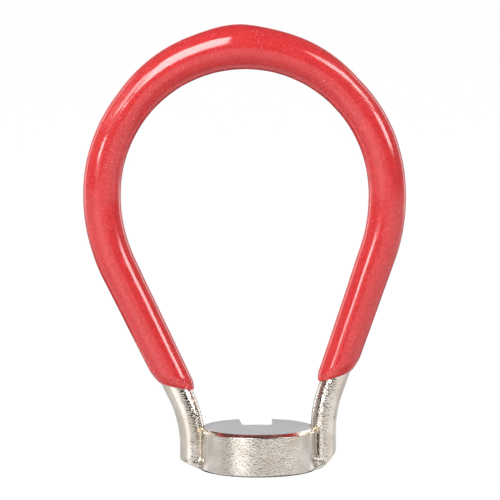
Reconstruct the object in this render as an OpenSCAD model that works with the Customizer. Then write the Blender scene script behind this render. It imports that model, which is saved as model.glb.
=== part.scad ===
// Wire-loop spoke wrench: a slotted steel head, a bent steel rod let into its sides
// and welded there, and the vinyl that the loop was dipped in.
// Millimetres, +Z up. The origin is the centre of the head's flat foot.
// The slot opens towards +Y, and the loop lies in the XZ plane.

/* [Head] */
// Diameter of the head
head_d = 19.4; // [18:0.1:24]
// Thickness of the head
head_t = 7; // [6:0.1:9]
// Radius of the rounded top rim
head_rim_r = 0.6; // [0.3:0.1:1]
// Bevel of the bottom rim
head_bevel = 0.45; // [0.2:0.05:0.8]

/* [Slot] */
// Width between the two flats that grip the nipple
jaw_w = 3.5; // [3.2:0.05:4.4]
// Distance of the slot's flat end behind the head's centre
slot_end_y = 2.2; // [1:0.1:4]
// Radius of the relief at each inner corner of the jaw
relief_r = 0.35; // [0.2:0.05:0.5]
// Length of the lead-in at the jaw's mouth
lead_l = 1.6; // [0.8:0.1:2.5]
// Widening of the lead-in on each side
lead_w = 0.5; // [0.2:0.05:0.9]
// Width of the clearance notch at its flat end
notch_w = 5; // [4.8:0.1:6]
// Width of the clearance notch at its mouth
notch_mouth_w = 5.6; // [5.2:0.1:7]
// Depth of the clearance notch below the top face
notch_t = 2.3; // [1.5:0.1:3.5]

/* [Rod] */
// Diameter of the bare rod
rod_d = 4.2; // [3.6:0.1:5]
// Depth that the rod is let into the side of the head
rod_sink = 1; // [0.6:0.1:1.6]
// Radial gap that the brazing fills between the rod and its groove
braze_gap = 0.05; // [0.02:0.01:0.15]
// Height of the rod's two ends above the foot
rod_foot_z = 1.8; // [1.2:0.1:2.6]
// Height above the foot at which the lower of the two bends starts
bend_start_z = 3.8; // [3.6:0.1:6]
// Radius of the two bends above the head, to the rod's centre line
bend_r = 20; // [12:0.5:26]

/* [Loop] */
// Sideways place of the loop's centre
loop_x = -2.2; // [-3:0.1:0]
// Lean of the loop to the left of the head's axis
lean = 3.4; // [0:0.1:5]
// Radius of the loop's round top, to the rod's centre line
loop_r = 23.4; // [21:0.1:26]
// Angle of the round top on each side of the loop's axis
top_half = 84; // [70:1:90]
// Radius of the easier arc on each side, to the rod's centre line
side_r = 28; // [26:0.5:34]
// Slope of each straight leg to the loop's axis
leg_slope = 22.3; // [20:0.1:25]

/* [Coating] */
// Thickness of the vinyl round the loop
coat_t = 1; // [0.7:0.05:1.4]
// Thickness of the vinyl at its two ends
coat_end_t = 0.75; // [0.5:0.05:1.1]
// Straight bare length between the vinyl and the nearer of the two bends
bare_l = 1.5; // [0.5:0.1:6]
// Angle that the vinyl sags at its ends, lower on the inside of the loop
dip_sag = 15; // [0:1:20]
// Length of the rounded lip at each end
lip_l = 1.4; // [0.8:0.1:2]
// Extra thickness that ran to the top of the loop
swell = 0.8; // [0:0.1:1.2]
// Angle on each side of the loop's axis where the extra thickness fades out
swell_half = 48; // [30:1:60]
// Height of the drip at the very top
drip = 0.4; // [0:0.05:0.8]
// Half angle of the drip
drip_half = 9.5; // [6:0.5:14]
// Radial gap between the vinyl and the rod
coat_gap = 0.06; // [0.05:0.01:0.1]

/* [Welds] */
// Size of the fillet on the top face of the head
fillet = 0.9; // [0.5:0.1:1.1]
// Thickness of the fillet's thin edges
fillet_toe = 0.12; // [0.08:0.02:0.2]
// Radius of the small bead at the lower end of each crease
bead_r = 0.5; // [0.3:0.05:0.7]
// Height of the left foot bevel at its outer edge
left_bevel_z = 1.7; // [1.2:0.1:3.2]
// Height of the right foot bevel at its outer edge
right_bevel_z = 2.9; // [1.2:0.1:3.4]
// Bulge of the foot bevels beyond a straight cone
bevel_bulge = 0.35; // [0:0.05:0.5]
// Land left between each foot bevel and the end of the rod
foot_land = 0.1; // [0.05:0.05:0.3]

/* [Hidden] */

// Sides of each piece
LEFT = -1;
RIGHT = 1;

// Facets of the true round surfaces
$fn = 64;

// Distance that a cut runs past the surface it opens
over = 1;

head_r = head_d / 2;
rod_r = rod_d / 2;
groove_r = rod_r + braze_gap;
// Distance of each rod end from the head's axis
rod_x = head_r + rod_r - rod_sink;

// The rod's centre line. Angles run from +Z towards +X.
leg_turn = 90 + leg_slope;

function heading(a) = [sin(a), cos(a)];
function along(a) = [cos(a), -sin(a)];
function leg_angle(s) = s * leg_turn - lean;
// Centre of a side arc and top of a leg, from the loop's centre
function side_offset(s) = (loop_r - side_r) * heading(s * top_half - lean);
function leg_offset(s) = side_offset(s) + side_r * heading(leg_angle(s));
// Slope of a leg to the vertical, its direction down, and its run to the rod's upright end
function leg_tilt(s) = leg_slope - s * lean;
function leg_down(s) = s * along(leg_angle(s));
function leg_run(s) = (s * (loop_x + leg_offset(s)[0]) - rod_x) / sin(leg_tilt(s));
function bend_reach(s) = bend_r * tan(leg_tilt(s) / 2);
// Height of the loop's centre above the start of a bend
function bend_drop(s) = bend_reach(s) - (leg_offset(s) + leg_run(s) * leg_down(s))[1];

loop_c = [loop_x, bend_start_z + max(bend_drop(LEFT), bend_drop(RIGHT))];
function side_c(s) = loop_c + side_offset(s);
function leg_top(s) = loop_c + leg_offset(s);
function bend_z(s) = loop_c[1] - bend_drop(s);

// Places along the rod, each a centre and the angle that faces out of the loop
function upright_at(s, z) = [[s * rod_x, z], s * 90];
function bend_c(s) = [s * (rod_x + bend_r), bend_z(s)];
function bend_at(s, b) = [bend_c(s) - bend_r * heading(s * (90 + b)), s * (90 + b)];
function leg_at(s, l) = [leg_top(s) + l * leg_down(s), leg_angle(s)];
function side_at(s, a) = [side_c(s) + side_r * heading(s * a - lean), s * a - lean];
function top_at(a) = [loop_c + loop_r * heading(a - lean), a - lean];

// Numbers of corners round a tube and of steps along it
tube_sides = 24;
top_steps = 34;
side_steps = 4;
bend_steps = 5;
leg_steps = 3;
lip_steps = 4;

function top_angle(i) = top_half * (2 * i / top_steps - 1);
function side_angle(i) = top_half + (leg_turn - top_half) * i / side_steps;
function bend_angle(s, i) = leg_tilt(s) * i / bend_steps;

// A bevel may reach up past the end of the rod, which is then cut on a slope, a little above the bevel
function bevel_z(s) = s == RIGHT ? right_bevel_z : left_bevel_z;
function foot_edge_z(s) = max(rod_foot_z, bevel_z(s) + foot_land);
function foot_skew(s) = (foot_edge_z(s) - rod_foot_z) / rod_d;

// One point of a ring: u outwards in the loop's plane, moved along the rod by the skew, and y across
function ring_point(place, skew, r, off, t) =
    let (
        u = off + r * cos(t),
        p = place[0] + u * heading(place[1]) + skew * u * along(place[1])
    ) [p[0], r * sin(t), p[1]];
function ring(place, skew, r, off = 0) =
    [for (k = [0 : tube_sides - 1]) ring_point(place, skew, r, off, 360 * k / tube_sides)];

// Two triangles between points a and b of one ring and their partners on the next ring
function band(a, b, a2, b2) = [[a, b2, b], [a, a2, b2]];
// Faces between rings that follow each other, and between two rings that are given by their first points
function skin(rings, first) = [
    for (i = [0 : rings - 2])
        each belt(first + i * tube_sides, first + (i + 1) * tube_sides),
];
function belt(from, to) = [
    for (k = [0 : tube_sides - 1])
        let (n = (k + 1) % tube_sides) each band(from + k, from + n, to + k, to + n),
];

// The rod, from its left foot over the top to its right foot
function foot_ring(s) =
    ring(upright_at(s, (rod_foot_z + foot_edge_z(s)) / 2), -s * foot_skew(s), rod_r);
rod_places = concat(
    [for (i = [0 : bend_steps]) bend_at(LEFT, bend_angle(LEFT, i))],
    [for (i = [side_steps : -1 : 1]) side_at(LEFT, side_angle(i))],
    [for (i = [0 : top_steps]) top_at(top_angle(i))],
    [for (i = [1 : side_steps]) side_at(RIGHT, side_angle(i))],
    [for (i = [bend_steps : -1 : 0]) bend_at(RIGHT, bend_angle(RIGHT, i))]
);
rod_rings = concat(
    [foot_ring(LEFT)], [for (p = rod_places) ring(p, 0, rod_r)], [foot_ring(RIGHT)]
);

// The loop was dipped square to its own axis, and the vinyl sagged further down on its inside
sag_skew = tan(leg_slope + dip_sag);
// Length of the vinyl on each straight leg
function straight_l(s) = leg_run(s) - bend_reach(s);
coat_leg = min(straight_l(LEFT), straight_l(RIGHT)) - bare_l;
// A polygon's flats lie inside its corners, so the bore's corners stand out by this factor
bore_r = (rod_r + coat_gap) / cos(180 / tube_sides);
// Last angle of the lip's rounding, short of a knife edge
lip_turn = 75;

function swell_at(a) = swell * max(0, 1 - pow(a / swell_half, 2));
function drip_at(a) = drip * exp(-pow(a / drip_half, 2));
function leg_coat(l) = coat_t + (coat_end_t - coat_t) * l / coat_leg;
function leg_skew(s, l) = -s * sag_skew * pow(l / coat_leg, 2);

// A section holds its place, its skew, the vinyl's thickness and its extra on the outside
function top_section(a) = [top_at(a), 0, coat_t, swell_at(a) + drip_at(a)];
function side_section(s, a) = [side_at(s, a), 0, coat_t, 0];
function leg_section(s, l, t) = [leg_at(s, l), leg_skew(s, l), t, 0];

plain_leg = [for (i = [1 : leg_steps]) (coat_leg - lip_l) * i / leg_steps];
lip_turns = [for (i = [1 : lip_steps]) lip_turn * i / lip_steps];
function lip_at(q) = coat_leg - lip_l * (1 - sin(q));
function leg_sections(s) = concat(
    [for (l = plain_leg) leg_section(s, l, leg_coat(l))],
    [for (q = lip_turns) leg_section(s, lip_at(q), coat_end_t * cos(q))]
);
function turned(list) = [for (i = [len(list) - 1 : -1 : 0]) list[i]];

grip_sections = concat(
    turned(leg_sections(LEFT)),
    [for (i = [side_steps : -1 : 1]) side_section(LEFT, side_angle(i))],
    [for (i = [0 : top_steps]) top_section(top_angle(i))],
    [for (i = [1 : side_steps]) side_section(RIGHT, side_angle(i))],
    leg_sections(RIGHT)
);
function grip_ring(sec) = ring(sec[0], sec[1], rod_r + sec[2] + sec[3] / 2, sec[3] / 2);

// Round body of the head, with its rounded top rim and bevelled foot
module head_body() {
    rotate_extrude() {
        square([head_r - head_rim_r, head_t]);
        translate([0, head_bevel])
            square([head_r, head_t - head_rim_r - head_bevel]);
        translate([head_r - head_rim_r, head_t - head_rim_r])
            circle(r = head_rim_r);
        polygon([[0, 0], [head_r - head_bevel, 0], [head_r, head_bevel], [0, head_bevel]]);
    }
}

// Parallel jaw through the head, with its lead-in and corner reliefs
module jaw_cut() {
    mouth_y = head_r - lead_l;
    wide = jaw_w / 2 + lead_w * (lead_l + over) / lead_l;
    translate([0, 0, -over])
        linear_extrude(height = head_t + 2 * over)
            polygon([
                [-jaw_w / 2, slot_end_y], [jaw_w / 2, slot_end_y], [jaw_w / 2, mouth_y],
                [wide, head_r + over], [-wide, head_r + over], [-jaw_w / 2, mouth_y],
            ]);
    for (s = [LEFT, RIGHT])
        translate([s * (jaw_w / 2 - relief_r / 2), slot_end_y, -over])
            cylinder(h = head_t + 2 * over, r = relief_r);
}

// Wider notch in the top face, which clears the end of the rim's nipple
module notch_cut() {
    flare = (notch_mouth_w - notch_w) / 2 / (head_r - slot_end_y);
    wide = notch_w / 2 + flare * (head_r + over - slot_end_y);
    translate([0, 0, head_t - notch_t])
        linear_extrude(height = notch_t + over)
            polygon([
                [-notch_w / 2, slot_end_y], [notch_w / 2, slot_end_y],
                [wide, head_r + over], [-wide, head_r + over],
            ]);
}

module groove_cut(s) {
    translate([s * rod_x, 0, -over])
        cylinder(h = head_t + 2 * over, r = groove_r);
}

module wrench_head() {
    color("#c9c4bd")
        difference() {
            head_body();
            jaw_cut();
            notch_cut();
            groove_cut(LEFT);
            groove_cut(RIGHT);
        }
}

// What lies outside the ground bevel at the foot of one rod end
module bevel_cut(s) {
    foot_r = head_r - head_bevel;
    edge_r = rod_x + rod_r;
    mid_r = (foot_r + edge_r) / 2 + bevel_bulge;
    mid_z = bevel_z(s) / 2 - bevel_bulge;
    rotate_extrude()
        polygon([
            [foot_r, -over], [foot_r, 0], [mid_r, mid_z], [edge_r, bevel_z(s)],
            [edge_r + over, bevel_z(s) + over], [edge_r + over, -over],
        ]);
}

module wire_handle() {
    rings = len(rod_rings);
    last = (rings - 1) * tube_sides;
    caps = [
        [for (k = [0 : tube_sides - 1]) k],
        [for (k = [tube_sides - 1 : -1 : 0]) last + k],
    ];
    color("#cfc8be")
        polyhedron(points = [for (r = rod_rings) each r], faces = concat(skin(rings, 0), caps));
}

module vinyl_grip() {
    rings = len(grip_sections);
    shell = rings * tube_sides;
    last = (rings - 1) * tube_sides;
    outer = [for (sec = grip_sections) each grip_ring(sec)];
    bore = [for (sec = grip_sections) each ring(sec[0], sec[1], bore_r)];
    wall = [for (f = skin(rings, shell)) turned(f)];
    ends = concat(belt(shell, 0), belt(last, last + shell));
    color("#d93a45")
        polyhedron(points = concat(outer, bore), faces = concat(skin(rings, 0), wall, ends));
}

// Fillet between the rod and the top face of the head
module weld_upper(s) {
    wide = rod_r + fillet;
    tall = head_rim_r + fillet;
    difference() {
        intersection() {
            translate([s * rod_x, 0, head_t - head_rim_r])
                rotate_extrude()
                    difference() {
                        square([wide, tall]);
                        square([groove_r, tall]);
                        translate([wide + fillet_toe, tall + fillet_toe])
                            circle(r = fillet);
                    }
            cylinder(h = head_t + tall, r = head_r - braze_gap);
        }
        head_body();
    }
}

// Ground weld that closes the foot of the groove, with a bead at each crease above it
module weld_lower(s) {
    // Where the rod's round side crosses the head's, seen from above
    crease_x = (head_r * head_r - rod_r * rod_r + rod_x * rod_x) / (2 * rod_x);
    crease_y = sqrt(head_r * head_r - crease_x * crease_x);
    edge_z = foot_edge_z(s);
    difference() {
        intersection() {
            translate([s * rod_x, 0, 0])
                cylinder(h = edge_z, r = rod_r);
            rotate([90, 0, 0])
                translate([0, 0, -rod_d])
                    linear_extrude(height = 2 * rod_d)
                        polygon([
                            [s * (rod_x - rod_r), 0], [s * (rod_x + rod_r), 0],
                            [s * (rod_x + rod_r), edge_z], [s * (rod_x - rod_r), rod_foot_z],
                        ]);
        }
        bevel_cut(s);
    }
    for (y = [-crease_y, crease_y])
        difference() {
            translate([s * crease_x, y, rod_foot_z])
                sphere(r = bead_r);
            cylinder(h = head_t, r = head_r + braze_gap);
            translate([s * rod_x, 0, rod_foot_z])
                cylinder(h = head_t, r = groove_r);
        }
}

module weld_left_upper() { color("#d8c9a8") weld_upper(LEFT); }

module weld_left_lower() { color("#d8c9a8") weld_lower(LEFT); }

module weld_right_upper() { color("#d8c9a8") weld_upper(RIGHT); }

module weld_right_lower() { color("#d8c9a8") weld_lower(RIGHT); }

wrench_head();
wire_handle();
vinyl_grip();
weld_left_upper();
weld_left_lower();
weld_right_upper();
weld_right_lower();
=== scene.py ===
"""Looks of the wire-loop spoke wrench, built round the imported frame.

The frame's axes hold throughout: X to the right, Y away from the camera, Z up.
Lengths are in metres, written in millimetres times MM. Angles are in radians, apart from those
of the room and its lamps, in degrees. Angles in the loop's plane run from +Z towards +X.
A side is LEFT or RIGHT, and stands in sums as a sign.
"""

import math

import bpy
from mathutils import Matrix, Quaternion, Vector


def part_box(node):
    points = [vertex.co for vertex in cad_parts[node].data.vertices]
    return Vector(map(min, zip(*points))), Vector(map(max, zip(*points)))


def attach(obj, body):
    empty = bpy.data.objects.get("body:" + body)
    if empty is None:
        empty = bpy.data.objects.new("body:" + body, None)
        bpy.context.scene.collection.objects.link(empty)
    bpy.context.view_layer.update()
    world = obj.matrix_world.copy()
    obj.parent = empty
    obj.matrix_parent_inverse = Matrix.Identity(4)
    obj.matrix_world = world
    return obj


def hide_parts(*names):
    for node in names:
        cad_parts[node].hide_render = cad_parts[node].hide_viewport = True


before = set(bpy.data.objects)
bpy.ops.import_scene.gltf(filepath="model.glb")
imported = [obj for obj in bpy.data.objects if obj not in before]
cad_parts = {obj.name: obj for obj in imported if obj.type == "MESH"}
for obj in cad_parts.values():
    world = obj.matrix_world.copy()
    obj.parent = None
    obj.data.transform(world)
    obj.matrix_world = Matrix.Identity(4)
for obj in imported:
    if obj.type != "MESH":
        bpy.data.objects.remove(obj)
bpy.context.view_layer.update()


def colour(red, green, blue):
    return (red, green, blue, 1)


def grey(value):
    return colour(value, value, value)


MM = 0.001
# No piece reaches as far as FAR. Places within TOUCH are one place, and within NEAR they are level.
FAR = 1
TOUCH = 0.001 * MM
NEAR = 0.01 * MM
LEFT, RIGHT = -1, 1
FRONT, BACK = -1, 1
SIDE_WORDS = {LEFT: "left", RIGHT: "right"}
UP = Vector((0, 0, 1))
BALL_FINENESS = 3

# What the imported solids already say: the head's radius and thickness, the rod's radius and its low end
head_low, head_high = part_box("wrench_head")
rod_low, rod_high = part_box("wire_handle")
HEAD_R = -head_low.y
HEAD_T = head_high.z
ROD_R = rod_high.y
ROD_FOOT_Z = rod_low.z

# The rod's centre line
ROD_SINK = 1 * MM
ROD_X = HEAD_R + ROD_R - ROD_SINK
BEND_START_Z = 3.8 * MM
BEND_R = 20 * MM
LOOP_X = -2.2 * MM
LOOP_R = 23.4 * MM
SIDE_R = 28 * MM
LEAN = math.radians(3.4)
TOP_HALF = math.radians(84)
LEG_SLOPE = math.radians(22.3)
LEG_TURN = math.pi / 2 + LEG_SLOPE
SIDE_TURN = LEG_TURN - TOP_HALF

# How finely the rod and the vinyl are drawn
TUBE_SIDES = 64
ROD_STEP = 0.8 * MM
SKIN_STEP = 0.7 * MM
BEND_STEPS = 12
LEG_STEPS = 30
FOOT_STEPS = {LEFT: 5, RIGHT: 9}

# The open gap at the front of the right groove
GAP_AT = Vector((9.8, -1.65, 4.2)) * MM
GAP_SIZE = Vector((0.32, 1.8, 3.4)) * MM
GAP_TILT = math.radians(12)

# A pit in the plate of the right leg
PIT_R = 0.28 * MM
PIT_AT = Vector((12.4, -1.42, 8.6)) * MM

# The vinyl
COAT_T = 1 * MM
COAT_END_T = 0.75 * MM
COAT_GAP = 0.06 * MM
BARE_L = 1.5 * MM
SPARE_L = 3 * MM
DIP_SAG = math.radians(15)
LIP_L = 2 * MM
LIP_SLOPE = 0.45
LIP_FACE = 0.08 * MM
LIP_STEPS = 8
SWELL_T = 0.8 * MM
SWELL_HALF = math.radians(48)
DRIP_T = 0.4 * MM
DRIP_HALF = math.radians(9.5)
# Size and height of its slight lumps, coarse and fine
LUMPS = ((9 * MM, 0.09 * MM), (3 * MM, 0.03 * MM))

# The head's edges and cuts
RIM_H = 0.5 * MM
RIM_W = 0.67 * MM
RIM_ROUND = 0.03 * MM
RIM_ROUND_STEPS = 4
FOOT_BEVEL = 0.45 * MM
FOOT_BEVEL_STEPS = 3
JAW_W = 3.5 * MM
SLOT_END_Y = 2.2 * MM
RELIEF_R = 0.35 * MM
LEAD_L = 1.6 * MM
LEAD_W = 0.5 * MM
NOTCH_W = 5 * MM
NOTCH_MOUTH_W = 5.6 * MM
NOTCH_T = 2.3 * MM
NOTCH_STRAIGHT_L = 0.5 * MM
GROOVE_R = ROD_R + 0.05 * MM
CUT_OVER = 1 * MM
EDGE_ROUND = 0.07 * MM
EDGE_ROUND_STEPS = 2
ROUNDED_ANGLE = math.radians(40)
HEAD_SIDES = 256
POST_SIDES = 96
RELIEF_SIDES = 32

# The feet and the lower welds
FOOT_BEVEL_Z = {LEFT: 1.7 * MM, RIGHT: 2.9 * MM}
BEVEL_BULGE = {LEFT: 0.02 * MM, RIGHT: 0.4 * MM}
BEVEL_SKEW = 0.65
BOWL_SIDES = 192
BOWL_STEPS = 8
BOWL_Z = -0.02 * MM
FOOT_LAND = 0.1 * MM
FOOT_LIFT = 0.01 * MM
PLUG_LAP = 0.3 * MM
PLUG_INSET = 0.05 * MM
PLUG_RISE = 0.15 * MM
ROOT_SHIFT = 0.35 * MM
WEB_R = 1.1 * MM
WEB_OUT = 0.45 * MM
WEB_IN = 0.75 * MM
WEB_SINK = 0.1 * MM
BEAD_R = 0.33 * MM
BEAD_OUT_SHARE = 1.1

# The upper welds: a fillet of beads round the rod on the head's top face
FILLET_RING_R = ROD_R + 0.22 * MM
FILLET_REACH = math.radians(78)
FILLET_BEAD_R = 0.42 * MM
FILLET_THIN_SHARE = 0.45
FILLET_SINK = 0.12 * MM
FILLET_INSET_SHARE = 0.4
FILLET_STEPS = 14
# How far the weld metal ran along the front of the rim and down the front crease
RIM_TAIL = {LEFT: math.radians(22), RIGHT: math.radians(30)}
CREASE_FILL = {LEFT: 4.6 * MM, RIGHT: 0.4 * MM}
# The same at the back, which the photograph doesn't show
BACK_TAIL = math.radians(18)
BACK_CREASE_FILL = 1.2 * MM
TAIL_INSET = 0.38 * MM
TAIL_SINK = 0.3 * MM
TAIL_LOSS_SHARE = 0.8
TAIL_STEPS = 18
FILL_SINK = 0.5 * MM
FILL_START_SHARE = 0.85
FILL_LOSS_SHARE = 0.55
FILL_LOSS_L = 1 * MM
FILL_STEP = 0.18 * MM
# A thin strip of it stands beside the right crease
STRIP_L = 3.6 * MM
STRIP_R = 0.2 * MM
STRIP_TURN = math.radians(3.5)
STRIP_SINK = 0.6 * MM
STRIP_INSET = 0.08 * MM
STRIP_STEPS = 24
# The crease between the rod and the head
CREASE_X = (HEAD_R**2 - ROD_R**2 + ROD_X**2) / (2 * ROD_X)
CREASE_Y = math.sqrt(HEAD_R**2 - CREASE_X**2)
CREASE_TURN = math.atan2(CREASE_Y, CREASE_X)

# The surface of the weld metal
WELD_VOXEL = 0.07 * MM
WELD_SOFTNESS = 0.6
WELD_SOFTENINGS = 4
RIPPLE_H = 0.08 * MM
UPPER_RIPPLE = 0.9 * MM
LOWER_RIPPLE = 0.8 * MM

# Edges sharper than these angles stay sharp under the finish
ROD_SHARP = math.radians(35)
HEAD_SHARP = math.radians(30)
FOOT_SHARP = math.radians(50)

# The nickel plate, with painted shade in the hollows of its grain and towards the foot, and the dents in it
NICKEL_PALE = colour(0.68, 0.635, 0.585)
NICKEL_GOLDEN = colour(0.60, 0.54, 0.47)
# Painted shade: the plate darkens to this colour towards the foot, between these heights
NICKEL_PAINTED_SHADE = colour(0.58, 0.54, 0.50)
PAINTED_SHADE_Z = (0.2 * MM, 2.4 * MM)
# Painted shade in the hollows of the grain: the base colour darkens to this where the grain is low
PLATE_HOLLOW_SHADE = colour(0.36, 0.32, 0.28)
HOLLOW_SHADE_EDGES = (0.28, 0.41)
HOLLOW_SHADE_SHARE = 0.8
GRAIN = 0.24 * MM
DENT = 1.2 * MM
DENT_SHARE = 0.6
STAIN = 2.5 * MM
STAIN_EDGES = (0.35, 0.65)
PLATE_ROUGH = 0.14
STAIN_ROUGH = 0.08
# Where the grain fades, and what is left of it there
INNER_EDGES = (ROD_X + 0.1 * MM, ROD_X + 1.1 * MM)
ASIDE_FADE = 3 * MM
CALM_FADE = 3.5 * MM
RIM_FADE = 0.1 * MM
OUTER_GRAIN = 0.25
ASIDE_GRAIN = 0.4
CALM_GRAIN = 0.6
RIM_GRAIN = 0.4
# The ground top of the head, and the lines along X that the grinding left
GROUND_DARK = colour(0.64, 0.642, 0.65)
GROUND_PALE = colour(0.735, 0.738, 0.747)
GROUND_ROUGH = 0.26
GROUND_FADE = 0.04 * MM
LINE_W = 0.16 * MM
LINE_STRETCH = (0.06, 1, 1)
LINE_SHARE = 0.2
# How the plate differs on the rod, the feet and the head
ROD_GRAIN_H = 0.06 * MM
ROD_GLOSS = 0.09
ROD_CALM_Z = 7 * MM
FOOT_GRAIN_H = 0.05 * MM
HEAD_GRAIN_H = 0.046 * MM
HEAD_EVEN_Z = HEAD_T - RIM_H - RIM_ROUND
HEAD_GROUND_Z = HEAD_T - 0.06 * MM
HEAD_ROUGH_X = 4.5 * MM

# The plate on the weld metal
WELD_PALE = colour(0.72, 0.66, 0.56)
WELD_GOLDEN = colour(0.62, 0.50, 0.34)
WELD_STAIN = 1.1 * MM
WELD_STAIN_EDGES = (0.4, 0.65)
WELD_GRAIN = 0.35 * MM
WELD_GRAIN_H = 0.025 * MM
WELD_ROUGH = 0.32
WELD_STAIN_ROUGH = 0.12

# The finish of the vinyl
VINYL_DARK = colour(0.56, 0.024, 0.028)
VINYL_PALE = colour(0.77, 0.058, 0.060)
VINYL_SPECK = colour(0.95, 0.35, 0.35)
VINYL_IOR = 1.53
VINYL_ROUGH = 0.1
MOTTLE = 2.2 * MM
MOTTLE_SHARE = 0.4
MOTTLE_ROUGH = 0.08
FINE = 0.3 * MM
FINE_EDGES = (0.25, 0.75)
FINE_SHARE = 0.6
SPECK_CELLS = (0.9 * MM, 0.5 * MM)
SPECK_EDGES = (0.08, 0.17)
SPECK_SHARE = 0.45
CROWD = 6 * MM
CROWD_EDGES = (0.4, 0.62)
RELIEF = 1.6 * MM
RELIEF_H = 0.006 * MM
FINE_RELIEF = 0.3
SPECK_RELIEF = 0.4

# The camera
CAMERA_AT = Vector((-30.37, -596.21, 97.08)) * MM
CAMERA_TARGET = Vector((-1.336, 0, 36.315)) * MM
CAMERA_LENS = 262.96
CAMERA_NEAR = 0.01

# The white table, and how much of what the camera sees there is plain white
FLOOR_W = 8
FLOOR_TINT = grey(0.82)
FLOOR_SHINE = 1.04
WHITE_SHARE = 0.95

# The sheet behind the wrench, with a painted shadow of the right foot: a darker patch to the right
SHEET_Y = 2 * MM
SHEET_Z = -0.05 * MM
SHEET_L = 55 * MM
SHEET_W = 100 * MM
SHEET_TINT = grey(0.8)
PAINTED_SHADOW_TINT = colour(0.3, 0.29, 0.27)
PAINTED_SHADOW_LEFT = (9 * MM, 12 * MM)
PAINTED_SHADOW_RIGHT = (18 * MM, 24 * MM)
PAINTED_SHADOW_BACK = (6 * MM, 12 * MM)

# What glossy rays see: each zone's low and high angle and its soft edge, later zones over earlier ones.
# Azimuth is from the camera's side, to the right, or to both sides. PAST is beyond every angle.
FILL = colour(0.22, 0.22, 0.225)
WALLS = colour(0.45, 0.44, 0.44)
CAMERA_SIDE = colour(0.03, 0.025, 0.022)
CEILING = colour(0.10, 0.075, 0.07)
BACK_LOW = colour(0.12, 0.11, 0.12)
PAST = 400
ROUND = (-PAST, PAST, 1)
ZONES = [
    # The table, and the dark side with the camera over it
    dict(azimuth=ROUND, height=(-PAST, -4, 2.5), tint=grey(0.96), both=False),
    dict(azimuth=(-8, 88, 10), height=(-62, -4, 2.5), tint=colour(1.18, 1.16, 1.14), both=False),
    dict(azimuth=(-86, 90, 6), height=(-3, 68, 2), tint=CAMERA_SIDE, both=False),
    dict(azimuth=(-54, -17, 8), height=(-40, -4, 2), tint=colour(1.75, 1.74, 1.72), both=False),
    dict(azimuth=ROUND, height=(-PAST, -48, 8), tint=grey(0.55), both=False),
    dict(azimuth=(15, 115, 8), height=(-PAST, -34, 6), tint=colour(0.36, 0.35, 0.34), both=False),
    # The far side, with a bright strip on each hand
    dict(azimuth=(126, PAST, 6), height=(-62, -17, 4), tint=BACK_LOW, both=True),
    dict(azimuth=(148, PAST, 6), height=(-30, -5, 3), tint=BACK_LOW, both=True),
    dict(azimuth=(110, PAST, 6), height=(-4, 48, 4), tint=colour(0.25, 0.24, 0.24), both=True),
    dict(azimuth=(150, PAST, 4), height=(-4, 22, 3), tint=colour(1.15, 1.15, 1.16), both=True),
    dict(azimuth=(122, 135, 3), height=(-8, 34, 4), tint=grey(3), both=True),
    # Overhead
    dict(azimuth=(162, PAST, 5), height=(24, PAST, 5), tint=CEILING, both=True),
    dict(azimuth=(95, PAST, 6), height=(48, PAST, 5), tint=CEILING, both=True),
    dict(azimuth=ROUND, height=(62, PAST, 6), tint=CEILING, both=False),
    # Two bright places on the left
    dict(azimuth=(-98, -66, 5), height=(23, 34, 3), tint=grey(1.5), both=False),
    dict(azimuth=(-41, -33, 2), height=(0, 4, 1), tint=grey(5), both=False),
]

# The lamps stand BOX_AWAY from the loop's centre. The shines show only in gloss, and the lights only
# light the colours.
BOX_AWAY = 0.8
SHINES = {
    "upper_left_shine": dict(azimuth=-26, height=38, roll=15, width=0.38, tall=0.54, radiance=13.5),
    "far_left_shine": dict(azimuth=-52, height=32, roll=0, width=0.22, tall=0.24, radiance=8),
    "low_left_shine": dict(azimuth=-47, height=9, roll=0, width=0.17, tall=0.10, radiance=16),
    "upper_right_shine": dict(azimuth=58, height=38, roll=-15, width=0.43, tall=0.20, radiance=10),
    "low_right_shine": dict(azimuth=64, height=16.5, roll=0, width=0.28, tall=0.20, radiance=11),
}
LIGHTS = {
    "left_light": dict(azimuth=-45, height=36, roll=0, width=0.60, tall=0.60, radiance=5.4),
    "right_light": dict(azimuth=55, height=30, roll=0, width=0.40, tall=0.40, radiance=5.2),
}


# The rod's centre line, from the sizes above


def heading(angle):
    """The way out from a centre at an angle in the loop's plane"""
    return Vector((math.sin(angle), 0, math.cos(angle)))


def along(angle):
    """The way on, square to the heading at an angle"""
    return Vector((math.cos(angle), 0, -math.sin(angle)))


def leg_angle(side):
    """Angle at which the outside of a leg faces"""
    return side * LEG_TURN - LEAN


def leg_tilt(side):
    """How far a leg leans out from upright"""
    return LEG_SLOPE - side * LEAN


def leg_down(side):
    return side * along(leg_angle(side))


def side_offset(side):
    """From the loop's centre to the centre of the arc at its side"""
    return (LOOP_R - SIDE_R) * heading(side * TOP_HALF - LEAN)


def leg_offset(side):
    """From the loop's centre to the top of a straight leg"""
    return side_offset(side) + SIDE_R * heading(leg_angle(side))


def leg_run(side):
    """Length of a leg down to where its line meets the foot's"""
    return (side * (LOOP_X + leg_offset(side).x) - ROD_X) / math.sin(leg_tilt(side))


def bend_reach(side):
    """How far the bend at the foot of a leg takes from each of the two lines"""
    return BEND_R * math.tan(leg_tilt(side) / 2)


def bend_drop(side):
    """How far the low end of the bend lies under the loop's centre"""
    return bend_reach(side) - (leg_offset(side) + leg_run(side) * leg_down(side)).z


LOOP_C = Vector((LOOP_X, 0, BEND_START_Z + max(bend_drop(LEFT), bend_drop(RIGHT))))
STRAIGHT_L = {side: leg_run(side) - bend_reach(side) for side in (LEFT, RIGHT)}
COAT_LEG = min(STRAIGHT_L.values()) - BARE_L


def bend_z(side):
    return LOOP_C.z - bend_drop(side)


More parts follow.
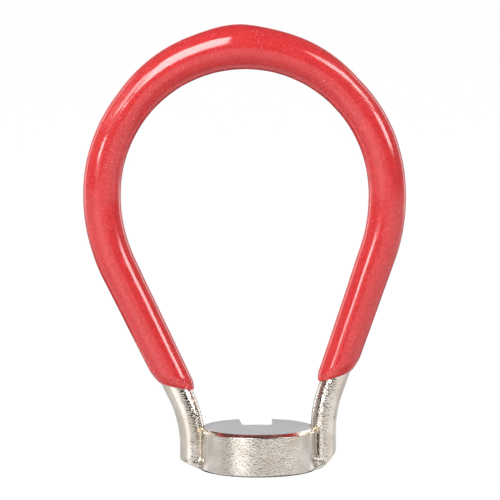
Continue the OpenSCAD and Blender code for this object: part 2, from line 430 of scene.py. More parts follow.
def leg_at(side, length):
    """A place on the centre line, a length down a straight leg"""
    return LOOP_C + leg_offset(side) + length * leg_down(side)


# How a piece is made


def deselect():
    if bpy.context.object and bpy.context.object.mode != "OBJECT":
        bpy.ops.object.mode_set(mode="OBJECT")
    bpy.ops.object.select_all(action="DESELECT")


def take(piece):
    deselect()
    piece.select_set(True)
    bpy.context.view_layer.objects.active = piece


def named(name):
    """Names a new primitive and puts its place into its mesh"""
    piece = bpy.context.object
    piece.name = piece.data.name = name
    bpy.ops.object.transform_apply(location=True, rotation=True, scale=True)
    return piece


def edit(piece, kind="VERT"):
    """Opens a piece with nothing selected"""
    take(piece)
    bpy.ops.object.mode_set(mode="EDIT")
    bpy.ops.mesh.select_mode(type=kind)
    bpy.ops.mesh.select_all(action="DESELECT")


def close():
    bpy.ops.object.mode_set(mode="OBJECT")


def pick(piece, part, wanted):
    """Selects the vertices, edges or faces for which wanted(item) is true, in an open piece"""
    bpy.ops.object.mode_set(mode="OBJECT")
    for item in getattr(piece.data, part):
        item.select = wanted(item)
    bpy.ops.object.mode_set(mode="EDIT")


def edge_ends(piece, edge):
    return [piece.data.vertices[v].co for v in edge.vertices]


def modify(piece, kind, **settings):
    take(piece)
    modifier = piece.modifiers.new(kind.lower(), kind)
    for key, value in settings.items():
        setattr(modifier, key, value)
    bpy.ops.object.modifier_apply(modifier=modifier.name)


def cut(piece, cutter, operation="DIFFERENCE"):
    modify(piece, "BOOLEAN", operation=operation, object=cutter, solver="EXACT")
    bpy.data.objects.remove(cutter)


def join(pieces):
    take(pieces[0])
    for piece in pieces[1:]:
        piece.select_set(True)
    bpy.ops.object.join()
    return pieces[0]


def face_out(piece):
    edit(piece)
    bpy.ops.mesh.select_all(action="SELECT")
    bpy.ops.mesh.remove_doubles(threshold=TOUCH)
    bpy.ops.mesh.normals_make_consistent(inside=False)
    close()


def smooth(piece, angle=None):
    take(piece)
    if angle is None:
        bpy.ops.object.shade_smooth()
    else:
        bpy.ops.object.shade_smooth_by_angle(angle=angle)


def cylinder(name, radius, low, high, x=0, y=0, sides=POST_SIDES):
    deselect()
    bpy.ops.mesh.primitive_cylinder_add(
        vertices=sides, radius=radius, depth=high - low, location=(x, y, (low + high) / 2)
    )
    return named(name)


def ball(name, radius, place):
    deselect()
    bpy.ops.mesh.primitive_ico_sphere_add(
        subdivisions=BALL_FINENESS, radius=radius, location=place
    )
    return named(name)


def draw_tube(name, radius, start, turn, runs):
    """A ring at the start, drawn along straight runs and spun round bends, which follow each other"""
    deselect()
    bpy.ops.mesh.primitive_circle_add(
        vertices=TUBE_SIDES, radius=radius, location=start, rotation=(0, turn, 0)
    )
    piece = named(name)
    edit(piece)
    bpy.ops.mesh.select_all(action="SELECT")
    for run in runs:
        if "way" in run:
            step = run["way"] / run["steps"]
            for _ in range(run["steps"]):
                bpy.ops.mesh.extrude_edges_move(TRANSFORM_OT_translate={"value": step})
        else:
            bpy.ops.mesh.spin(
                steps=run["steps"], angle=-run["turn"], center=run["centre"], axis=(0, 1, 0)
            )
    close()
    return piece


def loop_runs(leg_length, step):
    """From the left leg over the top to the right leg, in steps of about one length"""
    leg_steps = round(leg_length / step)
    side_steps = round(SIDE_R * SIDE_TURN / step)
    top_steps = round(LOOP_R * 2 * TOP_HALF / step)
    return [
        {"way": -leg_length * leg_down(LEFT), "steps": leg_steps},
        {"centre": LOOP_C + side_offset(LEFT), "turn": SIDE_TURN, "steps": side_steps},
        {"centre": LOOP_C, "turn": 2 * TOP_HALF, "steps": top_steps},
        {"centre": LOOP_C + side_offset(RIGHT), "turn": SIDE_TURN, "steps": side_steps},
        {"way": leg_length * leg_down(RIGHT), "steps": leg_steps},
    ]


def slice_off(place, normal, dropped, fill=True):
    """Cuts the selected part of an open piece at a plane and drops its inner or outer side"""
    bpy.ops.mesh.bisect(
        plane_co=place,
        plane_no=normal.normalized(),
        clear_inner=dropped == "inner",
        clear_outer=dropped == "outer",
        use_fill=fill,
        threshold=TOUCH,
    )


# The rod


def cut_at_foot(piece, side, dropped):
    """Cuts at the rod's end face, which slopes up outwards to stay above the bevel at the foot.

    The rod drops the low side, inner to the plane, and the plug under it the outer one. The plug
    is cut a little higher, so that the two overlap.
    """
    edge_z = max(ROD_FOOT_Z, FOOT_BEVEL_Z[side] + FOOT_LAND)
    rise = Vector((2 * ROD_R * side, 0, edge_z - ROD_FOOT_Z))
    middle = Vector((side * ROD_X, 0, (ROD_FOOT_Z + edge_z) / 2))
    if dropped == "outer":
        middle += PLUG_RISE * UP
    edit(piece)
    pick(piece, "vertices", lambda v: side * v.co.x > 0 and v.co.z < bend_z(side))
    slice_off(middle, rise.cross(Vector((0, side, 0))), dropped)
    close()


def crease_gap():
    """The narrow gap that the weld left open between the right end of the rod and the head"""
    deselect()
    bpy.ops.mesh.primitive_cube_add(
        size=1, location=GAP_AT, rotation=(-GAP_TILT, 0, 0), scale=GAP_SIZE
    )
    return named("gap")


def make_rod():
    """The bent steel rod, from foot to foot"""

    def bend(side):
        centre = Vector((side * (ROD_X + BEND_R), 0, bend_z(side)))
        return {"centre": centre, "turn": -leg_tilt(side), "steps": BEND_STEPS}

    def leg(side, way):
        return {"way": way * STRAIGHT_L[side] * leg_down(side), "steps": LEG_STEPS}

    foot_z = ROD_FOOT_Z - CUT_OVER
    foot = Vector((-ROD_X, 0, foot_z))
    runs = [
        {"way": (bend_z(LEFT) - foot_z) * UP, "steps": FOOT_STEPS[LEFT]},
        bend(LEFT),
        leg(LEFT, -1),
        *loop_runs(COAT_LEG, ROD_STEP)[1:-1],
        leg(RIGHT, 1),
        bend(RIGHT),
        {"way": (foot_z - bend_z(RIGHT)) * UP, "steps": FOOT_STEPS[RIGHT]},
    ]
    piece = draw_tube("rod", ROD_R, foot, 0, runs)
    for side in (LEFT, RIGHT):
        cut_at_foot(piece, side, "inner")
    face_out(piece)
    cut(piece, ball("pit", PIT_R, PIT_AT))
    cut(piece, crease_gap())
    return piece


# The vinyl


def loop_angle(place):
    """Angle of a place round the loop's centre, from the loop's own axis"""
    out = place - LOOP_C
    return math.atan2(out.x, out.z) + LEAN


def side_of(place):
    return LEFT if loop_angle(place) < 0 else RIGHT


def leg_depth(place):
    """How far a place lies down its straight leg"""
    side = side_of(place)
    return (place - LOOP_C - leg_offset(side)).dot(leg_down(side))


def dip_normal(side):
    """Square to the face that the vinyl ends on, which is lower on the inside of the loop"""
    skew = math.tan(LEG_SLOPE + DIP_SAG)
    return (leg_down(side) + skew * heading(leg_angle(side))).normalized()


def extra_vinyl(place):
    """Share of its greatest height that the swell and drip have, on the outside of the round top"""
    angle = loop_angle(place)
    swell = SWELL_T * max(0, 1 - (angle / SWELL_HALF) ** 2)
    drip = DRIP_T * math.exp(-((angle / DRIP_HALF) ** 2))
    out = (math.hypot(place.x - LOOP_C.x, place.z - LOOP_C.z) - LOOP_R) / (ROD_R + COAT_T)
    return (swell + drip) / (SWELL_T + DRIP_T) * (1 + out) / 2


def thin_vinyl(place):
    """Share of the thickness lost at the legs' ends that is lost at a place"""
    depth = leg_depth(place)
    if abs(loop_angle(place)) < TOP_HALF or depth < 0:
        return 0
    return min(1, depth / COAT_LEG)


def weigh(piece, name, share):
    """Adds a vertex group, with the weight that share(place) gives each vertex"""
    group = piece.vertex_groups.new(name=name)
    for vertex in piece.data.vertices:
        weight = share(vertex.co)
        if weight > 0:
            group.add([vertex.index], weight, "REPLACE")


def clouds(name, size):
    texture = bpy.data.textures.new(name, "CLOUDS")
    texture.noise_scale = size
    return texture


def trim(piece, side, length):
    """Cuts one leg of the vinyl's skin or bore on a slope, and leaves it open with its end ring selected"""
    edit(piece)
    pick(piece, "vertices", lambda v: side_of(v.co) == side)
    slice_off(leg_at(side, length), dip_normal(side), "outer", fill=False)


def round_lip(side):
    """Draws the selected end ring of one leg on and in towards the rod, between a cone and an ellipse"""
    skin_r = ROD_R + COAT_END_T
    radius, length = skin_r, 0
    for i in range(1, LIP_STEPS + 1):
        turn = math.pi / 2 * i / LIP_STEPS
        step = LIP_L * math.sin(turn) - length
        length += step
        share = LIP_SLOPE * math.sin(turn) + (1 - LIP_SLOPE) * (1 - math.cos(turn))
        next_r = skin_r - (COAT_END_T - LIP_FACE) * share
        bpy.ops.mesh.extrude_edges_move(TRANSFORM_OT_translate={"value": step * leg_down(side)})
        bpy.ops.transform.resize(
            value=(next_r / radius,) * 3, center_override=leg_at(side, COAT_LEG - LIP_L + length)
        )
        radius = next_r


def make_grip():
    """The vinyl, thicker where it ran to the top of the loop, and thinner down the legs"""
    runs = loop_runs(COAT_LEG + SPARE_L, SKIN_STEP)
    low_end = leg_at(LEFT, COAT_LEG + SPARE_L)
    skin = draw_tube("grip", ROD_R + COAT_T, low_end, -leg_tilt(LEFT), runs)
    face_out(skin)
    weigh(skin, "extra", extra_vinyl)
    weigh(skin, "thin", thin_vinyl)
    modify(skin, "DISPLACE", vertex_group="extra", strength=SWELL_T + DRIP_T, mid_level=0)
    modify(skin, "DISPLACE", vertex_group="thin", strength=COAT_END_T - COAT_T, mid_level=0)
    for size, height in LUMPS:
        lumps = clouds("vinyl_lumps", size)
        modify(skin, "DISPLACE", texture=lumps, strength=height, mid_level=0.5)
    bore = draw_tube("bore", ROD_R + COAT_GAP, low_end, -leg_tilt(LEFT), runs)
    for side in (LEFT, RIGHT):
        trim(skin, side, COAT_LEG - LIP_L)
        round_lip(side)
        close()
        trim(bore, side, COAT_LEG)
        close()
    piece = join([skin, bore])
    for side in (LEFT, RIGHT):
        edit(piece, "EDGE")
        bpy.ops.mesh.select_non_manifold(extend=False)
        pick(piece, "edges", lambda e: e.select and side_of(edge_ends(piece, e)[0]) == side)
        bpy.ops.mesh.bridge_edge_loops()
        close()
    face_out(piece)
    return piece


# The head


def rim_edges(piece, z):
    """Picks the edges of a head's outer rim at one height"""

    def wanted(edge):
        places = edge_ends(piece, edge)
        return all(abs(p.z - z) < NEAR and p.xy.length > HEAD_R - NEAR for p in places)

    pick(piece, "edges", wanted)


def bevel_rim(piece, z, size, segments):
    edit(piece, "EDGE")
    rim_edges(piece, z)
    bpy.ops.mesh.bevel(offset=size, segments=segments, affect="EDGES", profile=0.5)
    close()


def widen_rim_bevel(piece):
    """Draws in the inner ring of the top bevel, which is wider than it is high"""
    edit(piece)
    pick(piece, "vertices", lambda v: v.co.z > HEAD_T - TOUCH)
    share = (HEAD_R - RIM_W) / (HEAD_R - RIM_H)
    bpy.ops.transform.resize(value=(share, share, 1), center_override=(0, 0, HEAD_T))
    close()


def flared_block(name, width, mouth_width, low, high, mouth_y):
    """A block from the slot's end to a place past the head, which widens from mouth_y on"""
    deselect()
    middle = (0, (SLOT_END_Y + mouth_y) / 2, (low + high) / 2)
    size = (width, mouth_y - SLOT_END_Y, high - low)
    bpy.ops.mesh.primitive_cube_add(size=1, location=middle, scale=size)
    piece = named(name)
    edit(piece, "FACE")
    pick(piece, "polygons", lambda face: face.center.y > mouth_y - NEAR)
    reach = HEAD_R + CUT_OVER - mouth_y
    bpy.ops.mesh.extrude_region_move(TRANSFORM_OT_translate={"value": (0, reach, 0)})
    grown = 1 + (mouth_width / width - 1) * reach / (HEAD_R - mouth_y)
    bpy.ops.transform.resize(value=(grown, 1, 1), center_override=(0, HEAD_R, (low + high) / 2))
    close()
    return piece


def make_head():
    """The disc, with its grooves for the rod, its jaw and the notch above the jaw"""
    piece = cylinder("head", HEAD_R, 0, HEAD_T, sides=HEAD_SIDES)
    bevel_rim(piece, 0, FOOT_BEVEL, FOOT_BEVEL_STEPS)
    bevel_rim(piece, HEAD_T, RIM_H, 1)
    widen_rim_bevel(piece)
    bevel_rim(piece, HEAD_T - RIM_H, RIM_ROUND, RIM_ROUND_STEPS)
    low, high = -CUT_OVER, HEAD_T + CUT_OVER
    for side in (LEFT, RIGHT):
        cut(piece, cylinder("groove", GROOVE_R, low, high, x=side * ROD_X))
    cut(piece, flared_block("jaw", JAW_W, JAW_W + 2 * LEAD_W, low, high, HEAD_R - LEAD_L))
    for side in (LEFT, RIGHT):
        x = side * (JAW_W / 2 - RELIEF_R / 2)
        cut(piece, cylinder("relief", RELIEF_R, low, high, x=x, y=SLOT_END_Y, sides=RELIEF_SIDES))
    floor_z = HEAD_T - NOTCH_T
    flare_y = SLOT_END_Y + NOTCH_STRAIGHT_L
    cut(piece, flared_block("notch", NOTCH_W, NOTCH_MOUTH_W, floor_z, high, flare_y))
    edit(piece, "EDGE")
    bpy.ops.mesh.edges_select_sharp(sharpness=ROUNDED_ANGLE)
    bpy.ops.mesh.bevel(
        offset=EDGE_ROUND, segments=EDGE_ROUND_STEPS, affect="EDGES", clamp_overlap=True
    )
    close()
    return piece


# The welds


def weld_metal(name, parts, ripple):
    """Runs parts together into one lump of weld metal, softens it and ripples its surface"""
    piece = join(parts)
    piece.name = piece.data.name = name
    modify(piece, "REMESH", mode="VOXEL", voxel_size=WELD_VOXEL)
    modify(piece, "SMOOTH", factor=WELD_SOFTNESS, iterations=WELD_SOFTENINGS)
    modify(piece, "DISPLACE", texture=clouds(name, ripple), strength=RIPPLE_H, mid_level=0.5)
    return piece


def rim_place(side, turn, inset, sink):
    """A place inside the head's edge and below its top, turned from one side towards the front"""
    radius = HEAD_R - inset
    return Vector((side * radius * math.cos(turn), -radius * math.sin(turn), HEAD_T - sink))


def fillet_ring(side):
    """Beads round the rod where it leaves the head, where it has begun to lean out"""
    beads = []
    ring_x = ROD_X + (HEAD_T - bend_z(side)) ** 2 / (2 * BEND_R)
    edge = HEAD_R - RIM_W * FILLET_INSET_SHARE
    for i in range(-FILLET_STEPS, FILLET_STEPS + 1):
        turn = FILLET_REACH * i / FILLET_STEPS
        across = ring_x - FILLET_RING_R * math.cos(turn)
        place = Vector((side * across, FILLET_RING_R * math.sin(turn), 0))
        place = place * min(1, edge / place.length)
        place.z = HEAD_T - FILLET_SINK
        share = FILLET_THIN_SHARE + (1 - FILLET_THIN_SHARE) * abs(turn / FILLET_REACH)
        beads.append(ball("fillet", FILLET_BEAD_R * share, place))
    return beads


def rim_tail(side, front):
    """Beads from the crease along the rim, smaller and smaller"""
    beads = []
    length = RIM_TAIL[side] if front == FRONT else BACK_TAIL
    for i in range(TAIL_STEPS):
        share = i / (TAIL_STEPS - 1)
        turn = -front * (CREASE_TURN + length * share)
        size = FILLET_BEAD_R * (1 - TAIL_LOSS_SHARE * share)
        beads.append(ball("tail", size, rim_place(side, turn, TAIL_INSET, TAIL_SINK)))
    return beads


def crease_fill(side, front):
    """Beads down the crease, which lose most of their size within the first millimetre"""
    beads = []
    drop = CREASE_FILL[side] if front == FRONT else BACK_CREASE_FILL
    steps = max(FILLET_STEPS, round(drop / FILL_STEP))
    for i in range(steps):
        down = drop * i / (steps - 1)
        share = FILL_START_SHARE - FILL_LOSS_SHARE * min(1, down / FILL_LOSS_L)
        place = Vector((side * CREASE_X, front * CREASE_Y, HEAD_T - FILL_SINK - down))
        beads.append(ball("fill", FILLET_BEAD_R * share, place))
    return beads


def crease_strip(side):
    """Beads in a straight strip down the head's wall beside the crease"""
    beads = []
    for i in range(STRIP_STEPS):
        sink = STRIP_SINK + STRIP_L * i / (STRIP_STEPS - 1)
        place = rim_place(side, CREASE_TURN + STRIP_TURN, STRIP_INSET, sink)
        beads.append(ball("strip", STRIP_R, place))
    return beads


def make_upper_weld(side):
    """The fillet on the top face round the rod, which ran along the rim and down the crease"""
    beads = fillet_ring(side)
    for front in (FRONT, BACK):
        beads += rim_tail(side, front) + crease_fill(side, front)
    if side == RIGHT:
        beads += crease_strip(side)
    return weld_metal(f"{SIDE_WORDS[side]}_upper_weld", beads, UPPER_RIPPLE)


def bevel_rings(side):
    """Radius and height of the rings of one foot's ground bevel, from the foot out and up"""
    foot_r = HEAD_R - FOOT_BEVEL
    edge_r = ROD_X + ROD_R
    rings = []
    for i in range(1, BOWL_STEPS + 1):
        share = i / BOWL_STEPS
        bulge = BEVEL_BULGE[side] * math.sin(math.pi * share**BEVEL_SKEW)
        radius = foot_r + (edge_r - foot_r) * share + bulge
        rings.append((radius, FOOT_BEVEL_Z[side] * share - bulge))
    rings.append((edge_r + CUT_OVER, FOOT_BEVEL_Z[side] + CUT_OVER))
    rings.append((edge_r + CUT_OVER, HEAD_T))
    return rings


def foot_bowl(side):
    """What is left inside the ground bevel at one foot: its rings drawn up and out from the foot"""
    radius, z = HEAD_R - FOOT_BEVEL, BOWL_Z
    deselect()
    bpy.ops.mesh.primitive_circle_add(
        vertices=BOWL_SIDES, radius=radius, fill_type="NGON", location=(0, 0, z)
    )
    piece = named("bowl")
    edit(piece)
    bpy.ops.mesh.select_all(action="SELECT")
    for next_r, next_z in bevel_rings(side):
        grown = next_r / radius
        bpy.ops.mesh.extrude_region_move(TRANSFORM_OT_translate={"value": (0, 0, next_z - z)})
        bpy.ops.transform.resize(value=(grown, grown, 1), center_override=(0, 0, next_z))
        radius, z = next_r, next_z
    close()
    face_out(piece)
    return piece


def make_lower_weld(side):
    """The plug that closes the foot of the groove, ground to the bevel, with a bead at each crease"""
    x = side * ROD_X
    plug = cylinder("plug", ROD_R - PLUG_INSET, -CUT_OVER, bend_z(side) - CUT_OVER, x=x)
    cut_at_foot(plug, side, "outer")
    core_z = max(ROD_FOOT_Z, FOOT_BEVEL_Z[side]) + PLUG_LAP
    root_x = side * (ROD_X - ROOT_SHIFT)
    parts = [
        plug,
        cylinder("core", ROD_R - 2 * PLUG_LAP, -CUT_OVER, core_z, x=x),
        cylinder("root", ROD_R, -CUT_OVER, ROD_FOOT_Z - PLUG_LAP, x=root_x),
    ]
    for front in (FRONT, BACK):
        web_x = side * (CREASE_X + WEB_OUT)
        web_y = front * (CREASE_Y - WEB_IN)
        bead_at = Vector((side * CREASE_X, front * CREASE_Y * BEAD_OUT_SHARE, ROD_FOOT_Z))
        parts.append(cylinder("web", WEB_R, -CUT_OVER, ROD_FOOT_Z - WEB_SINK, x=web_x, y=web_y))
        parts.append(ball("bead", BEAD_R, bead_at))
    piece = join(parts)
    modify(piece, "REMESH", mode="VOXEL", voxel_size=WELD_VOXEL)
    cut(piece, foot_bowl(side), "INTERSECT")
    piece = weld_metal(f"{SIDE_WORDS[side]}_lower_weld", [piece], LOWER_RIPPLE)
    edit(piece)
    bpy.ops.mesh.select_all(action="SELECT")
    slice_off(FOOT_LIFT * UP, UP, "inner")
    close()
    return piece


# How a finish is made


class Wire:
    """An output of a node. An expression on a number adds its Math nodes."""

    def __init__(self, graph, socket):
        self.graph = graph
        self.socket = socket

    def __add__(self, other):
        return self.graph.maths("ADD", self, other)

    def __radd__(self, other):
        return self.graph.maths("ADD", other, self)

    def __sub__(self, other):
        return self.graph.maths("SUBTRACT", self, other)

    def __rsub__(self, other):
        return self.graph.maths("SUBTRACT", other, self)

    def __mul__(self, other):
        return self.graph.maths("MULTIPLY", self, other)

    def __rmul__(self, other):
        return self.graph.maths("MULTIPLY", other, self)


class Graph:
    """The nodes of a material or of the world"""

    def __init__(self, owner):
        owner.use_nodes = True
        self.tree = owner.node_tree
        self.tree.nodes.clear()

    def node(self, kind, settings=None, inputs=None, output=0):
        """Adds a node: its settings first, then a value or a wire for each of its sockets"""
        made = self.tree.nodes.new("ShaderNode" + kind)
        for key, value in (settings or {}).items():
            setattr(made, key, value)
        for key, value in (inputs or {}).items():
            if isinstance(value, Wire):
                self.tree.links.new(value.socket, made.inputs[key])
            else:
                made.inputs[key].default_value = value
        return Wire(self, made.outputs[output]) if made.outputs else None

    def maths(self, operation, *values):
        return self.node("Math", {"operation": operation}, dict(enumerate(values)))

    def axes(self, place, names):
        """A wire for each named coordinate of a place"""
        return [self.node("SeparateXYZ", inputs={0: place}, output=name) for name in names]

    def noise(self, place, size, detail=2):
        inputs = {"Vector": place, "Scale": 1 / size, "Detail": detail}
        return self.node("TexNoise", inputs=inputs)

    def between(self, value, low, high):
        """0 where the value is low, 1 where it is high, with a smooth step between"""
        settings = {"interpolation_type": "SMOOTHSTEP"}
        return self.node("MapRange", settings, {"Value": value, "From Min": low, "From Max": high})

    def mix(self, share, first, second):
        settings = {"data_type": "RGBA"}
        return self.node("Mix", settings, {0: share, 6: first, 7: second}, output=2)

    def stretched(self, place, scale):
        return self.node("Mapping", inputs={"Vector": place, "Scale": scale})


def finish(name):
    """A new material, its graph and the place on the object, which its patterns follow"""
    material = bpy.data.materials.new(name)
    graph = Graph(material)
    place = graph.node("TexCoord", output="Object")
    return material, graph, place


def surface(graph, height, depth, inputs):
    """The shader of one finish, with a bump of a height that varies from 0 to 1 and its depth"""
    normal = graph.node("Bump", inputs={"Height": height, "Distance": depth})
    shader = graph.node("BsdfPrincipled", inputs={**inputs, "Normal": normal})
    graph.node("OutputMaterial", inputs={"Surface": shader})


def at_least(low, share):
    """A share that falls to a low value instead of to 0"""
    return share * (1 - low) + low


# The finishes


def nickel_plate(name, depth, gloss=0, even_z=FAR, ground_z=FAR, rough_x=FAR, calm_z=-FAR):
    """Warm plate over rough steel, with an orange-peel grain.

    The grain is as high as depth. It is calmer from even_z up, further than rough_x from the
    middle, near or below calm_z and on the rod's outer side. Above ground_z the plate is ground.
    The rod's inner side, well above calm_z, is less rough by gloss.
    """
    material, graph, place = finish(name)
    x, height = graph.axes(place, "XZ")
    across = graph.maths("ABSOLUTE", x)
    bent_h = graph.maths("MAXIMUM", height - BEND_START_Z, 0)
    inner = 1 - graph.between(across - bent_h * bent_h * (0.5 / BEND_R), *INNER_EDGES)
    middle = 1 - graph.between(across, rough_x, rough_x + ASIDE_FADE)
    raised = graph.between(height, calm_z, calm_z + CALM_FADE)
    below_rim = 1 - graph.between(height, even_z - RIM_FADE, even_z + RIM_FADE)
    coarse = at_least(OUTER_GRAIN, inner) * at_least(ASIDE_GRAIN, middle) * at_least(CALM_GRAIN, raised)
    top = graph.between(height, ground_z, ground_z + GROUND_FADE)
    grain = graph.noise(place, GRAIN, detail=1)
    dents = graph.noise(place, DENT, detail=1)
    stains = graph.noise(place, STAIN)
    lines = graph.noise(graph.stretched(place, LINE_STRETCH), LINE_W)
    # Painted shade: the hollows of the grain darken the base colour, fading out from even_z up
    hollow_shade = (1 - graph.between(grain, *HOLLOW_SHADE_EDGES)) * (1 - graph.between(height, even_z - RIM_FADE, even_z))
    warm = graph.mix(graph.between(stains, *STAIN_EDGES), NICKEL_PALE, NICKEL_GOLDEN)
    # Painted shade: the plate is darker towards the foot, where it meets the table
    warm = graph.mix(graph.between(height, *PAINTED_SHADE_Z), NICKEL_PAINTED_SHADE, warm)
    warm = graph.mix(hollow_shade * coarse * HOLLOW_SHADE_SHARE, warm, PLATE_HOLLOW_SHADE)
    cool = graph.mix(lines, GROUND_DARK, GROUND_PALE)
    peel = (grain + dents * DENT_SHARE) * at_least(RIM_GRAIN, below_rim) * coarse
    rough = PLATE_ROUGH + stains * STAIN_ROUGH + top * GROUND_ROUGH
    inputs = {
        "Base Color": graph.mix(top, warm, cool),
        "Metallic": 1.0,
        "Roughness": rough - inner * raised * gloss,
    }
    surface(graph, peel * (1 - top) + lines * top * LINE_SHARE, depth, inputs)
    return material


def weld_plate():
    """The same plate on smooth weld metal, warmer in tone"""
    material, graph, place = finish("plated_weld")
    stains = graph.noise(place, WELD_STAIN)
    grain = graph.noise(place, WELD_GRAIN, detail=1)
    inputs = {
        "Base Color": graph.mix(graph.between(stains, *WELD_STAIN_EDGES), WELD_PALE, WELD_GOLDEN),
        "Metallic": 1.0,
        "Roughness": WELD_ROUGH + stains * WELD_STAIN_ROUGH,
    }
    surface(graph, grain, WELD_GRAIN_H, inputs)
    return material


def red_vinyl():
    """Glossy dipped vinyl, with a slight mottle and fine pale specks"""
    material, graph, place = finish("red_vinyl")
    mottle = graph.noise(place, MOTTLE, detail=3)
    relief = graph.noise(place, RELIEF, detail=1)
    fine = graph.noise(place, FINE, detail=1)
    crowd = graph.between(graph.noise(place, CROWD), *CROWD_EDGES)
    specks = 0
    for size in SPECK_CELLS:
        cells = graph.node("TexVoronoi", inputs={"Vector": place, "Scale": 1 / size})
        specks = (1 - graph.between(cells, *SPECK_EDGES)) * crowd + specks
    share = mottle * MOTTLE_SHARE + graph.between(fine, *FINE_EDGES) * FINE_SHARE
    red = graph.mix(share, VINYL_DARK, VINYL_PALE)
    inputs = {
        "Base Color": graph.mix(specks * SPECK_SHARE, red, VINYL_SPECK),
        "Roughness": VINYL_ROUGH + mottle * MOTTLE_ROUGH,
        "IOR": VINYL_IOR,
    }
    surface(graph, relief + fine * FINE_RELIEF + specks * SPECK_RELIEF, RELIEF_H, inputs)
    return material


def dress(piece, material, node, angle=None):
    """Gives a piece its finish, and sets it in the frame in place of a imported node"""
    smooth(piece, angle)
    if angle:
        modify(piece, "WEIGHTED_NORMAL", keep_sharp=True)
    piece.data.materials.clear()
    piece.data.materials.append(material)
    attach(piece, "root")
    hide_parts(node)


# The room


def soft_box(name, box, mirrored):
    """A lamp that faces the loop's centre, and is either mirrored in gloss or lights the colours"""
    azimuth, height = math.radians(box["azimuth"]), math.radians(box["height"])
    level = Vector((math.sin(azimuth), -math.cos(azimuth), 0))
    way = level * math.cos(height) + UP * math.sin(height)
    light = bpy.data.lights.new(name, "AREA")
    light.shape = "RECTANGLE"
    light.size = box["width"]
    light.size_y = box["tall"]
    light.energy = box["radiance"] * math.pi * box["width"] * box["tall"]
    lamp = bpy.data.objects.new(name, light)
    bpy.context.scene.collection.objects.link(lamp)
    lamp.location = LOOP_C + way * BOX_AWAY
    turned = way.to_track_quat("Z", "Y") @ Quaternion((0, 0, 1), math.radians(box["roll"]))
    lamp.rotation_euler = turned.to_euler()
    lamp.visible_diffuse = not mirrored
    lamp.visible_glossy = mirrored


def window(graph, value, low, high, soft):
    """1 between two angles in degrees, 0 outside them, with soft edges"""
    low, high, soft = (math.radians(angle) for angle in (low, high, soft))
    opened = graph.between(value, low - soft, low + soft)
    return opened * (1 - graph.between(value, high - soft, high + soft))


def make_room():
    """White surroundings, which glossy rays see in detail, zone over zone"""
    world = bpy.data.worlds.new("room")
    bpy.context.scene.world = world
    graph = Graph(world)
    x, y, z = graph.axes(graph.node("TexCoord", output="Generated"), "XYZ")
    azimuth = graph.maths("ARCTAN2", x, 0 - y)
    aside = graph.maths("ABSOLUTE", azimuth)
    height = graph.maths("ARCSINE", z)
    seen = WALLS
    for zone in ZONES:
        across = aside if zone["both"] else azimuth
        share = window(graph, across, *zone["azimuth"]) * window(graph, height, *zone["height"])
        seen = graph.mix(share, seen, zone["tint"])
    tint = graph.mix(graph.node("LightPath", output="Is Glossy Ray"), FILL, seen)
    tint = graph.mix(graph.node("LightPath", output="Is Camera Ray"), tint, grey(1))
    background = graph.node("Background", inputs={"Color": tint})
    graph.node("OutputWorld", inputs={"Surface": background})


def lay(piece, name):
    """Gives a piece of the room a new material, and opens the material's graph"""
    material = bpy.data.materials.new(name)
    piece.data.materials.append(material)
    return Graph(material)


def make_floor():
    """The white table that the wrench stands on"""
    deselect()
    bpy.ops.mesh.primitive_plane_add(size=FLOOR_W)
    floor = named("floor")
    floor.visible_glossy = False
    graph = lay(floor, "white_table")
    paper = graph.node("BsdfDiffuse", inputs={"Color": FLOOR_TINT})
    shine = graph.node("Emission", inputs={"Color": grey(1), "Strength": FLOOR_SHINE})
    share = graph.node("LightPath", output="Is Camera Ray") * WHITE_SHARE
    mixed = graph.node("MixShader", inputs={0: share, 1: paper, 2: shine})
    graph.node("OutputMaterial", inputs={"Surface": mixed})


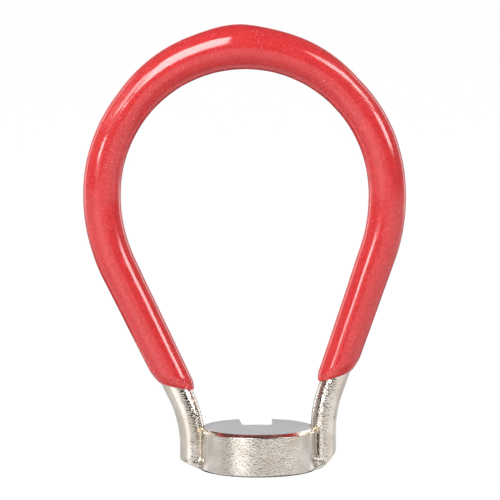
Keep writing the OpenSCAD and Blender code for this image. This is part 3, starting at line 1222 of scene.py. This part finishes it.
def make_sheet():
    """The white sheet close behind the wrench, which only glossy rays see"""
    deselect()
    bpy.ops.mesh.primitive_plane_add(size=1, location=(0, SHEET_Y + SHEET_L / 2, SHEET_Z))
    bpy.ops.transform.resize(value=(SHEET_W, SHEET_L, 1))
    sheet = named("sheet")
    sheet.visible_camera = False
    sheet.visible_diffuse = False
    sheet.visible_shadow = False
    graph = lay(sheet, "lit_sheet")
    across, deep = graph.axes(graph.node("TexCoord", output="Object"), "XY")
    # Painted shadow of the right foot: a darker patch on the sheet to the right
    painted_shadow = graph.between(across, *PAINTED_SHADOW_LEFT) * (1 - graph.between(across, *PAINTED_SHADOW_RIGHT))
    painted_shadow = painted_shadow * (1 - graph.between(deep, *PAINTED_SHADOW_BACK))
    shine = graph.node("Emission", inputs={"Color": graph.mix(painted_shadow, SHEET_TINT, PAINTED_SHADOW_TINT)})
    graph.node("OutputMaterial", inputs={"Surface": shine})


def make_camera():
    camera = bpy.data.objects.new("camera", bpy.data.cameras.new("camera"))
    bpy.context.scene.collection.objects.link(camera)
    camera.location = CAMERA_AT
    camera.rotation_euler = (CAMERA_AT - CAMERA_TARGET).to_track_quat("Z", "Y").to_euler()
    camera.data.lens = CAMERA_LENS
    camera.data.clip_start = CAMERA_NEAR
    bpy.context.scene.camera = camera


bpy.context.scene.view_settings.view_transform = "Standard"
make_camera()
make_room()
make_floor()
make_sheet()
for name, box in SHINES.items():
    soft_box(name, box, mirrored=True)
for name, box in LIGHTS.items():
    soft_box(name, box, mirrored=False)

rod_plate = nickel_plate("rod_plate", ROD_GRAIN_H, gloss=ROD_GLOSS, calm_z=ROD_CALM_Z)
foot_plate = nickel_plate("foot_plate", FOOT_GRAIN_H, even_z=0)
head_plate = nickel_plate(
    "head_plate", HEAD_GRAIN_H, even_z=HEAD_EVEN_Z, ground_z=HEAD_GROUND_Z, rough_x=HEAD_ROUGH_X
)
plated_weld = weld_plate()
dress(make_rod(), rod_plate, "wire_handle", ROD_SHARP)
dress(make_grip(), red_vinyl(), "vinyl_grip")
dress(make_head(), head_plate, "wrench_head", HEAD_SHARP)
for side, word in SIDE_WORDS.items():
    dress(make_upper_weld(side), plated_weld, f"weld_{word}_upper")
    dress(make_lower_weld(side), foot_plate, f"weld_{word}_lower", FOOT_SHARP)
